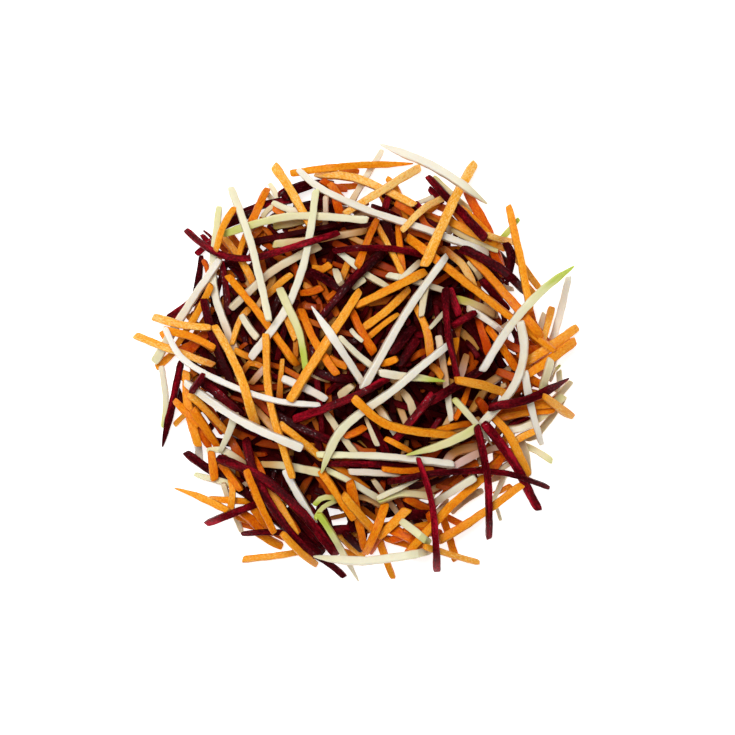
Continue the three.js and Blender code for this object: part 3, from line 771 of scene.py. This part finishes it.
carrot(9, 487, 412, 508, 434, 527, 474, tone=0.3)
kohlrabi(9, 519, 323, 523, 352, 512, 388, 480, 425, tone=0.3)
beetroot(9, 489, 407, 530, 398, 568, 379, tip="end", tone=-0.1)
carrot(9, 544, 397, 558, 407, 571, 416, tone=0.4)
kohlrabi(7, 454, 399, 472, 419, 491, 444, tip="end", tone=0.2, green=(0.7, 0.2))
kohlrabi(8.5, 407, 454, 445, 443, 475, 428, tip="start", green=(0.8, 0.6))
beetroot(9.5, 484, 424, 512, 460, 538, 509)
beetroot(6.5, 390, 481, 440, 472, 500, 472, 548, 487, tone=0)
carrot(8, 521, 485, 484, 512, 440, 539, tone=0.2)
beetroot(8, 476, 426, 487, 478, 489, 537, tone=0.3)
carrot(7, 425, 546, 452, 555, 478, 563)
beetroot(7, 418, 458, 432, 505, 437, 569, tone=0.5)

# Beetroot juice runs down and gathers low in the heap, and shade falls deep in it, so a place is
# stained and darkened with painted shade by how far it lies below the surface of the heap round it.

STAIN_AND_SHADE_START = -1.2 * MM  # how far below the surface the stain and painted shade begin
STAIN_AND_SHADE_DEPTH = 4.5 * MM
ROUND_A_PLACE = 8 * MM
STAIN_AND_SHADE_RADIUS = 64 * MM  # past which a shred has neither stain nor painted shade
STAIN_AND_SHADE_FADE = 20 * MM

reach = np.arange(-ROUND_A_PLACE, ROUND_A_PLACE + CELL / 2, CELL) / CELL
surface = sum(np.roll(heights, round(shift), axis=0) for shift in reach) / len(reach)
surface = sum(np.roll(surface, round(shift), axis=1) for shift in reach) / len(reach)
for shred in laid:
    below = surface[cells(shred["line"][:, :2])] - shred["line"][:, 2]
    stain_and_shade_reach = np.clip((STAIN_AND_SHADE_RADIUS - np.hypot(*shred["line"][:, :2].T)) / STAIN_AND_SHADE_FADE, 0, 1)
    shred["stain_and_shade"] = stain_and_shade_reach * np.clip((below - STAIN_AND_SHADE_START) / STAIN_AND_SHADE_DEPTH, 0, 1)


# ---- Carrot shreds ----
# Raw carrot cut on a julienne blade: square orange bars with slightly rounded edges and blunt or
# slanted ends. The cut faces have a fine grain with lengthwise bands and small darker pits.

BAR_EDGE = 0.14  # rounding of a bar's long edges, as a share of its width
SHOWN_BAR = (1.2 * MM, 2)  # from one ring of corners to the next, and steps round a long edge
FILL_BAR = (3.5 * MM, 1)
FEWEST_RINGS = 6
END_RINGS = (0.22 * MM, 0.8 * MM)  # first two rings in from a cut end
SHORT_END = 1 / 8  # of a shred's length, which these two never pass
CUT_TIP = (1.1 * MM, 0.66, 0.5)  # length, share of the width left at the end, power of the curve
POINTED_TIP = (9 * MM, 0.16, 0.75)
SLANT = (-0.45, 0.45)  # of a cut end, as a slope
SLANT_FADE = 4 * MM
TWIST = 0.4  # radians, most
ROLL = 0.25
TAPER = 0.32  # most that a shred's width changes from end to end, as a share of it
FLATNESS = (0.8, 1.0)  # of a shred's own thickness, as a share of the usual one
UNEVEN = 0.11  # of each side's distance from the middle
UNEVEN_WAVES = ((6 * MM, 1.0), (15 * MM, 1.2), (2.9 * MM, 0.6))  # length and weight of each wave
SHARP_EDGE = math.radians(20)
UNDERSIDE_PAINTED_SHADE = 0.6  # more painted shade at a shred's underside than on its top
TONES = (-0.25, 0.55)  # darkest and palest of the shreds that are given no tone
MILD_GREEN = (0.3, 0.3)  # at the two ends of a shred that is given neither tone nor green
GREEN_FADE = 1.6  # power by which the green of a skin end fades towards the other end
FIBRES = (1300, 2400)  # waves to the metre, along a shred and across it
BANDS = (90, 420)
PITS = (900, 1500)
PIT_STEEPNESS = 2.6  # the higher, the smaller each pit
FIBRE_HEIGHT, PIT_DEPTH = 0.6, 0.4  # shares of the relief
GLINT_POWER = 2.5  # the higher, the smaller each speck
GLINT_ROUGHNESS = 0.1


def long_edges(form):
    """The edges that run along a bar."""
    return [edge for edge in form.edges if abs(edge.verts[0].co.x - edge.verts[1].co.x) > 0.5]


def straight_bar(rings, edge_steps):
    """A straight bar, 1 long, wide and thick: its corners, each corner's ring, and its faces."""
    form = bmesh.new()
    bmesh.ops.create_cube(form, size=1.0)
    bmesh.ops.bevel(
        form, geom=long_edges(form), offset=BAR_EDGE, segments=edge_steps, profile=0.5,
        affect="EDGES", material=-1,
    )
    bmesh.ops.subdivide_edges(form, edges=long_edges(form), cuts=rings - 1, use_grid_fill=True)
    bmesh.ops.recalc_face_normals(form, faces=form.faces)
    form.verts.index_update()
    corners = np.array([corner.co for corner in form.verts])
    faces = [[corner.index for corner in face.verts] for face in form.faces]
    form.free()
    return corners, np.rint((corners[:, 0] + 0.5) * rings).astype(int), faces


def ring_places(length, rings):
    """How far along a shred its rings lie: two close to each end, the rest evenly between."""
    first, second = (min(place, length * SHORT_END) for place in END_RINGS)
    between = np.linspace(second, length - second, rings - 3)
    return np.concatenate([[0, first], between, [length - first, length]])


def end_share(distance, pointed):
    """Share of the full width that is left at a distance from an end."""
    ease, left, power = POINTED_TIP if pointed else CUT_TIP
    return left + (1 - left) * np.clip(distance / ease, 0, 1) ** power


def waves(run, draw):
    """Uneven swelling along a shred, about -1 to 1."""
    total = sum(
        weight * np.sin(run * math.tau / span + draw.uniform(0, math.tau))
        for span, weight in UNEVEN_WAVES
    )
    return total / sum(weight for _, weight in UNEVEN_WAVES)


def follow_line(shred, place, across, up):
    """Corners set off sideways and up from a shred's line, which runs straight on at its ends."""
    lengths = shred["lengths"]
    line, heading = (
        np.stack([np.interp(place, lengths, path[:, axis]) for axis in range(3)], axis=1)
        for path in (shred["line"], np.gradient(shred["line"], lengths, axis=0))
    )
    heading /= np.linalg.norm(heading, axis=1)[:, None]
    side = np.cross((0, 0, 1), heading)
    side /= np.linalg.norm(side, axis=1)[:, None]
    top = np.cross(heading, side)
    past_end = np.minimum(place, 0) + np.maximum(place - lengths[-1], 0)
    points = line + heading * past_end[:, None] + side * across[:, None] + top * up[:, None]
    points[:, 2] = np.maximum(points[:, 2], 0)
    return points


def bend_bar(corners, ring, shred, draw):
    """The corners of one shred on its line, and the attributes that its finish reads."""
    length = shred["lengths"][-1]
    run = ring_places(length, ring.max())[ring]
    along = run / length
    tip = shred.get("tip")
    start = end_share(run, tip in ("start", "both"))
    end = end_share(length - run, tip in ("end", "both"))
    share = np.minimum(start, end) * (1 + draw.uniform(-TAPER, TAPER) * (along - 0.5))
    thickness = shred["width"] * THICKNESS_SHARE * draw.uniform(*FLATNESS) * share
    roll = draw.uniform(-ROLL, ROLL) + draw.uniform(-TWIST, TWIST) * (along - 0.5)
    cos, sin = np.cos(roll), np.sin(roll)
    width = shred["width"] * share / (cos + THICKNESS_SHARE * np.abs(sin))
    across, up = corners[:, 1] * width, corners[:, 2] * thickness
    across *= 1 + UNEVEN * np.where(across > 0, waves(run, draw), waves(run, draw))
    up *= 1 + UNEVEN * np.where(up > 0, waves(run, draw), waves(run, draw))
    grain = np.stack([run, across, up], axis=1) + draw.uniform(0, 1, 3)
    across, up = across * cos - up * sin, across * sin + up * cos
    start_slant, end_slant = draw.uniform(*SLANT, 2)
    slide = start_slant * np.clip(1 - run / SLANT_FADE, 0, 1)
    slide = slide + end_slant * np.clip(1 - (length - run) / SLANT_FADE, 0, 1)
    points = follow_line(shred, run + slide * across, across, up)
    tone = shred["tone"] if "tone" in shred else draw.uniform(*TONES)
    start_green, end_green = shred.get("green", (0, 0) if "tone" in shred else MILD_GREEN)
    # Painted shade: each shred is darkened more towards its underside, where shade falls.
    under = np.clip(0.5 - up / thickness, 0, 1)
    return points, grain, {
        "tone": np.full(len(run), tone),
        "green": start_green * (1 - along) ** GREEN_FADE + end_green * along**GREEN_FADE,
        "juice": np.full(len(run), shred.get("juice", 0)),
        "stain_and_shade": np.interp(run, shred["lengths"], shred["stain_and_shade"]) + UNDERSIDE_PAINTED_SHADE * under,
    }


def make_shreds(name, kind, seed):
    """All the shreds of one vegetable as one mesh."""
    draw = np.random.default_rng(seed)
    bars, points, grains, looks, faces = {}, [], [], [], []
    count = 0
    for shred in (shred for shred in laid if shred["kind"] == kind):
        ring_pitch, edge_steps = FILL_BAR if "fill" in shred else SHOWN_BAR
        size = max(FEWEST_RINGS, round(shred["lengths"][-1] / ring_pitch)), edge_steps
        if size not in bars:
            bars[size] = straight_bar(*size)
        corners, ring, bar_faces = bars[size]
        for found, values in zip((points, grains, looks), bend_bar(corners, ring, shred, draw)):
            found.append(values)
        faces += [[corner + count for corner in face] for face in bar_faces]
        count += len(corners)
    mesh = bpy.data.meshes.new(name)
    mesh.from_pydata(np.vstack(points), [], faces)
    grain = mesh.attributes.new("grain", "FLOAT_VECTOR", "POINT")
    grain.data.foreach_set("vector", np.vstack(grains).ravel())
    for look in looks[0]:
        values = np.concatenate([shred_looks[look] for shred_looks in looks]).astype(np.float32)
        mesh.attributes.new(look, "FLOAT", "POINT").data.foreach_set("value", values)
    mesh.shade_smooth()
    mesh.set_sharp_from_angle(angle=SHARP_EDGE)
    return add_object(name, mesh)


def read_attribute(tree, name):
    made = add_node(tree, "ShaderNodeAttribute", {}, attribute_name=name)
    return made.outputs["Vector" if name == "grain" else "Fac"]


def add_math(tree, operation, *values):
    """The result of one operation on sockets or numbers."""
    inputs = dict(enumerate(values))
    return add_node(tree, "ShaderNodeMath", inputs, operation=operation).outputs[0]


def between(tree, mask, least, most):
    """A value that goes from least to most as a mask goes from 0 to 1."""
    return add_math(tree, "MULTIPLY_ADD", mask, most - least, least)


def add_mix(tree, share, first, second):
    """Two colours mixed by a share."""
    inputs = {0: share, 6: first, 7: second}
    return add_node(tree, "ShaderNodeMix", inputs, data_type="RGBA").outputs[2]


def tint(tree, flesh, mask, most, shade):
    """Flesh that takes on a shade where a mask says, by no more than most."""
    return add_mix(tree, add_math(tree, "MULTIPLY", mask, most), flesh, shade)


def make_fibre_group():
    """Cut face of a root, as masks of 0 to 1: fine fibres, lengthwise bands, pits (beetroot's
    painted highlight flecks), and a height.
    """
    tree = bpy.data.node_groups.new("cut_root_fibre", "ShaderNodeTree")
    tree.interface.new_socket("Grain", in_out="INPUT", socket_type="NodeSocketVector")
    for name in ("Fibres", "Bands", "PitsAndPaintedFlecks", "Height"):
        tree.interface.new_socket(name, in_out="OUTPUT", socket_type="NodeSocketFloat")
    grain = tree.nodes.new("NodeGroupInput").outputs["Grain"]

    def pattern(kind, along, across, **values):
        """The outputs of a texture that is stretched along the shreds."""
        scales = {0: grain, 1: (along, across, across)}
        stretched = add_node(tree, "ShaderNodeVectorMath", scales, operation="MULTIPLY").outputs[0]
        return add_node(tree, kind, {"Vector": stretched, "Scale": 1, **values}).outputs

    fibres = pattern("ShaderNodeTexNoise", *FIBRES, Detail=2)["Fac"]
    bands = pattern("ShaderNodeTexNoise", *BANDS, Detail=2)["Fac"]
    from_middle = pattern("ShaderNodeTexVoronoi", *PITS)["Distance"]
    pits = add_math(tree, "SUBTRACT", 1, add_math(tree, "MULTIPLY", from_middle, PIT_STEEPNESS))
    pits = add_math(tree, "MAXIMUM", pits, 0)
    height = add_math(
        tree, "SUBTRACT", add_math(tree, "MULTIPLY", fibres, FIBRE_HEIGHT),
        add_math(tree, "MULTIPLY", pits, PIT_DEPTH),
    )
    fill_inputs(tree, tree.nodes.new("NodeGroupOutput"), {
        "Fibres": fibres, "Bands": bands, "PitsAndPaintedFlecks": pits, "Height": height,
    })
    return tree


fibre_group = make_fibre_group()


def add_fibres(tree):
    """The fibre group in a material, fed by the grain of each shred."""
    grain = {"Grain": read_attribute(tree, "grain")}
    return add_node(tree, "ShaderNodeGroup", grain, node_tree=fibre_group).outputs


def add_glints(tree, fibres, strength):
    """Weight of a clear wet coat: sparse specks on the middles of the cut cells."""
    specks = add_math(tree, "POWER", fibres["PitsAndPaintedFlecks"], GLINT_POWER)
    return add_math(tree, "MULTIPLY", specks, strength)


def tone_position(tree, fibres, by_fibres, by_bands):
    """Where a place lies on its vegetable's colour ramp: the shred's tone, bands and fibres."""
    tone = add_math(tree, "MULTIPLY_ADD", read_attribute(tree, "tone"), 0.5, 0.5)
    bands = add_math(tree, "MULTIPLY", add_math(tree, "SUBTRACT", fibres["Bands"], 0.5), by_bands)
    threads = add_math(tree, "SUBTRACT", fibres["Fibres"], 0.5)
    threads = add_math(tree, "MULTIPLY", threads, by_fibres)
    return add_math(tree, "ADD", tone, add_math(tree, "ADD", bands, threads))


def finish_shreds(piece, material):
    piece.data.materials.append(material)
    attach(piece, "root")
    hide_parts("julienne_heap")


carrot_shreds = make_shreds("carrot_shreds", "carrot", seed=3)
carrot_flesh, tree, shader = new_material("raw_carrot")
fibres = add_fibres(tree)
flesh = add_ramp(
    tree, tone_position(tree, fibres, by_fibres=0.8, by_bands=0.5), (0.0, colour(196, 66, 0)),
    (0.3, colour(224, 108, 2)), (0.55, colour(240, 145, 12)), (0.8, colour(248, 172, 50)),
    (1.0, colour(255, 208, 124)),
)
flesh = tint(tree, flesh, fibres["PitsAndPaintedFlecks"], most=0.5, shade=colour(198, 84, 8))
# Juice stain and painted shade: darker red-orange deep in the heap and on each shred's underside.
flesh = tint(tree, flesh, read_attribute(tree, "stain_and_shade"), most=0.9, shade=colour(150, 34, 0))
flesh = tint(tree, flesh, read_attribute(tree, "juice"), most=0.8, shade=colour(120, 24, 8))
fill_inputs(tree, shader, {
    "Base Color": flesh,
    "Roughness": between(tree, fibres["Bands"], least=0.35, most=0.6),
    "Specular IOR Level": 0.12,
    "Coat Weight": add_glints(tree, fibres, strength=0.5),
    "Coat Roughness": GLINT_ROUGHNESS,
    "Subsurface Weight": 0.18,
    "Subsurface Radius": (1.0, 0.45, 0.12),
    "Subsurface Scale": 0.8 * MM,
    "Normal": add_relief(tree, fibres["Height"], Strength=0.6, Distance=0.25 * MM),
})
finish_shreds(carrot_shreds, carrot_flesh)


# ---- Beetroot shreds ----
# Raw beetroot from the same blade, dark crimson to purple-black. It is the wettest of the three, so
# light glints on its cut faces, and its highlights break up into small magenta flecks, which are
# painted highlights on its cut cells.

beetroot_shreds = make_shreds("beetroot_shreds", "beetroot", seed=5)
beetroot_flesh, tree, shader = new_material("raw_beetroot")
fibres = add_fibres(tree)
flesh = add_ramp(
    tree, tone_position(tree, fibres, by_fibres=0.9, by_bands=1.6), (0.0, colour(28, 1, 3)),
    (0.42, colour(62, 2, 8)), (0.7, colour(106, 4, 16)), (1.0, colour(170, 16, 38)),
)
# Painted highlight: the middles of the cut cells are painted a paler magenta, as small flecks of
# light.
flesh = tint(tree, flesh, fibres["PitsAndPaintedFlecks"], most=0.35, shade=colour(140, 36, 48))
# Juice stain and painted shade: near black deep in the heap and on each shred's underside.
flesh = tint(tree, flesh, read_attribute(tree, "stain_and_shade"), most=0.9, shade=colour(44, 2, 2))
fill_inputs(tree, shader, {
    "Base Color": flesh,
    "Roughness": between(tree, fibres["Bands"], least=0.22, most=0.62),
    "Specular IOR Level": 0.03,
    "Coat Weight": add_glints(tree, fibres, strength=1.0),
    "Coat Roughness": GLINT_ROUGHNESS,
    "Subsurface Weight": 0.1,
    "Subsurface Radius": (1.0, 0.08, 0.2),
    "Subsurface Scale": 0.5 * MM,
    "Normal": add_relief(tree, fibres["Height"], Strength=0.7, Distance=0.3 * MM),
})
finish_shreds(beetroot_shreds, beetroot_flesh)


# ---- Kohlrabi shreds ----
# Raw kohlrabi, the palest and most translucent of the three: ivory in the middle of the root and
# yellow-green towards its skin, so many shreds turn green at one end. Beetroot juice stains a few.

GREEN_COVER = 1.2  # how fast the skin's green covers the flesh as it rises

kohlrabi_shreds = make_shreds("kohlrabi_shreds", "kohlrabi", seed=7)
kohlrabi_flesh, tree, shader = new_material("raw_kohlrabi")
fibres = add_fibres(tree)
flesh = add_ramp(
    tree, tone_position(tree, fibres, by_fibres=0.3, by_bands=0.6), (0.0, colour(206, 182, 130)),
    (0.3, colour(224, 208, 172)), (0.6, colour(232, 224, 202)), (1.0, colour(242, 238, 230)),
)
banded = between(tree, fibres["Bands"], least=0.5, most=1.5)
green = add_math(tree, "MULTIPLY", read_attribute(tree, "green"), banded)
skin_side = add_ramp(
    tree, green, (0.0, colour(236, 230, 194)), (0.5, colour(222, 220, 140)),
    (1.0, colour(186, 204, 76)),
)
covered = add_math(tree, "MINIMUM", add_math(tree, "MULTIPLY", green, GREEN_COVER), 1)
flesh = add_mix(tree, covered, flesh, skin_side)
flesh = add_mix(tree, read_attribute(tree, "juice"), flesh, colour(214, 150, 158))
# Juice stain and painted shade: orange-brown deep in the heap and on each shred's underside.
flesh = tint(tree, flesh, read_attribute(tree, "stain_and_shade"), most=0.95, shade=colour(200, 136, 54))
fill_inputs(tree, shader, {
    "Base Color": flesh,
    "Roughness": between(tree, fibres["Bands"], least=0.28, most=0.48),
    "Specular IOR Level": 0.2,
    "Subsurface Weight": 0.5,
    "Subsurface Radius": (1.0, 0.9, 0.65),
    "Subsurface Scale": 1.3 * MM,
    "Normal": add_relief(tree, fibres["Height"], Strength=0.35, Distance=0.2 * MM),
})
finish_shreds(kohlrabi_shreds, kohlrabi_flesh)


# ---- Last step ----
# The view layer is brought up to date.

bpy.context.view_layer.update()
